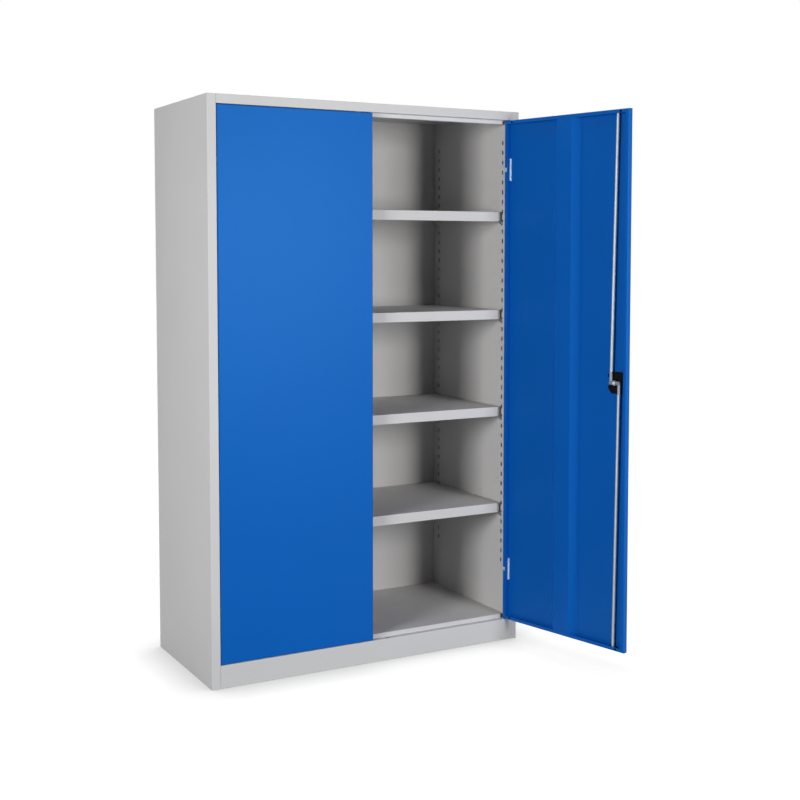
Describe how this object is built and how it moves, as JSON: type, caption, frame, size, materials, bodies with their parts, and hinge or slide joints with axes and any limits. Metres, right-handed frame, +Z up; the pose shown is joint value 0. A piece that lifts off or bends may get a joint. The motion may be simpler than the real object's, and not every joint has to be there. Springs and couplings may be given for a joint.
{
  "type": "tool cabinet with doors",
  "caption": "Tall steel tool cabinet with two hinged sheet-metal doors, one standing open, adjustable shelves on slotted side liners and a two-rod lock.",
  "frame": {"origin": "centre of the cabinet's footprint on the floor, on the underside of the support under its floor", "axes": "+X to the right seen from the front, +Y from the doors to the back, +Z up; the right door stands open"},
  "size_m": [1.3143, 1.0813, 1.95],
  "materials": {
    "body_grey": "light grey powder coat, fine texture, satin",
    "inner_grey": "light grey powder coat, satin",
    "door_blue": "blue powder coat, satin",
    "zinc": "zinc plate on drawn steel, satin",
    "bright_zinc": "bright zinc plate, slightly blue",
    "cast_zinc": "plain cast zinc, satin",
    "black_plastic": "black moulded plastic",
    "black_steel": "blackened steel, satin",
    "cylinder_chrome": "nickel plate"
  },
  "bodies": {
    "cabinet": {"side_panel_left": "body_grey", "side_panel_right": "body_grey", "side_liner_left": "inner_grey", "side_liner_right": "inner_grey", "back_panel": "inner_grey", "top_panel": "body_grey", "plinth_front": "body_grey", "base_shelf": "inner_grey", "floor_support": "inner_grey", "shelf_1": "inner_grey", "shelf_2": "inner_grey", "shelf_3": "inner_grey", "shelf_4": "inner_grey", "shelf_clips_1": "zinc", "shelf_clips_2": "zinc", "shelf_clips_3": "zinc", "shelf_clips_4": "zinc", "left_hinge_frame_leaves": "bright_zinc", "right_hinge_frame_leaves": "bright_zinc", "left_hinge_pins": "bright_zinc", "right_hinge_pins": "bright_zinc"},
    "left_door": {"left_door_panel": "door_blue", "left_door_stiffener": "door_blue", "left_hinge_door_leaves": "bright_zinc", "left_bolt_guides": "black_plastic", "left_bolt_brackets": "black_plastic"},
    "right_door": {"right_door_panel": "door_blue", "right_door_stiffener": "door_blue", "right_hinge_door_leaves": "bright_zinc", "right_rod_guides": "black_plastic", "lock_case": "black_plastic", "lock_rosette": "black_plastic", "lock_screws": "black_steel"},
    "handle": {"lock_handle": "black_plastic", "lock_spindle": "zinc", "lock_cam": "cast_zinc", "cam_screw": "bright_zinc"},
    "key_cylinder": {"lock_cylinder": "cylinder_chrome"},
    "upper_rod": {"upper_rod": "zinc"},
    "lower_rod": {"lower_rod": "zinc"},
    "left_upper_bolt": {"left_upper_bolt": "zinc"},
    "left_lower_bolt": {"left_lower_bolt": "zinc"}
  },
  "joints": [
    {"name": "left_door_hinge", "type": "hinge", "parent": "cabinet", "child": "left_door", "pos_m": [-0.56, -0.2645, 0], "axis": [0, 0, -1], "range_deg": [0, 110]},
    {"name": "right_door_hinge", "type": "hinge", "parent": "cabinet", "child": "right_door", "pos_m": [0.56, -0.2645, 0], "axis": [0, 0, 1], "range_deg": [-103, 7]},
    {"name": "lock_handle_turn", "type": "hinge", "parent": "right_door", "child": "handle", "pos_m": [0.6793, -0.75678, 0.9985], "axis": [0.9744, 0.225, 0], "range_deg": [0, 90]},
    {"name": "key_cylinder_turn", "type": "hinge", "parent": "handle", "child": "key_cylinder", "pos_m": [0.6793, -0.75678, 0.9985], "axis": [0.9744, 0.225, 0], "range_deg": [0, 90]},
    {"name": "upper_rod_pivot", "type": "hinge", "parent": "handle", "child": "upper_rod", "pos_m": [0.66183, -0.74337, 0.9985], "axis": [0.9744, 0.225, 0], "range_deg": [-92, 0]},
    {"name": "lower_rod_pivot", "type": "hinge", "parent": "handle", "child": "lower_rod", "pos_m": [0.66948, -0.77649, 0.9985], "axis": [0.9744, 0.225, 0], "range_deg": [-92, 0]},
    {"name": "left_upper_bolt_slide", "type": "slide", "parent": "left_door", "child": "left_upper_bolt", "axis": [0, 0, 1], "range_m": [0, 0.016]},
    {"name": "left_lower_bolt_slide", "type": "slide", "parent": "left_door", "child": "left_lower_bolt", "axis": [0, 0, -1], "range_m": [0, 0.016]}
  ],
  "couplings": [
    {"joint": "upper_rod_pivot", "follows": "lock_handle_turn", "ratio": -1.0118},
    {"joint": "lower_rod_pivot", "follows": "lock_handle_turn", "ratio": -1.0118}
  ]
}
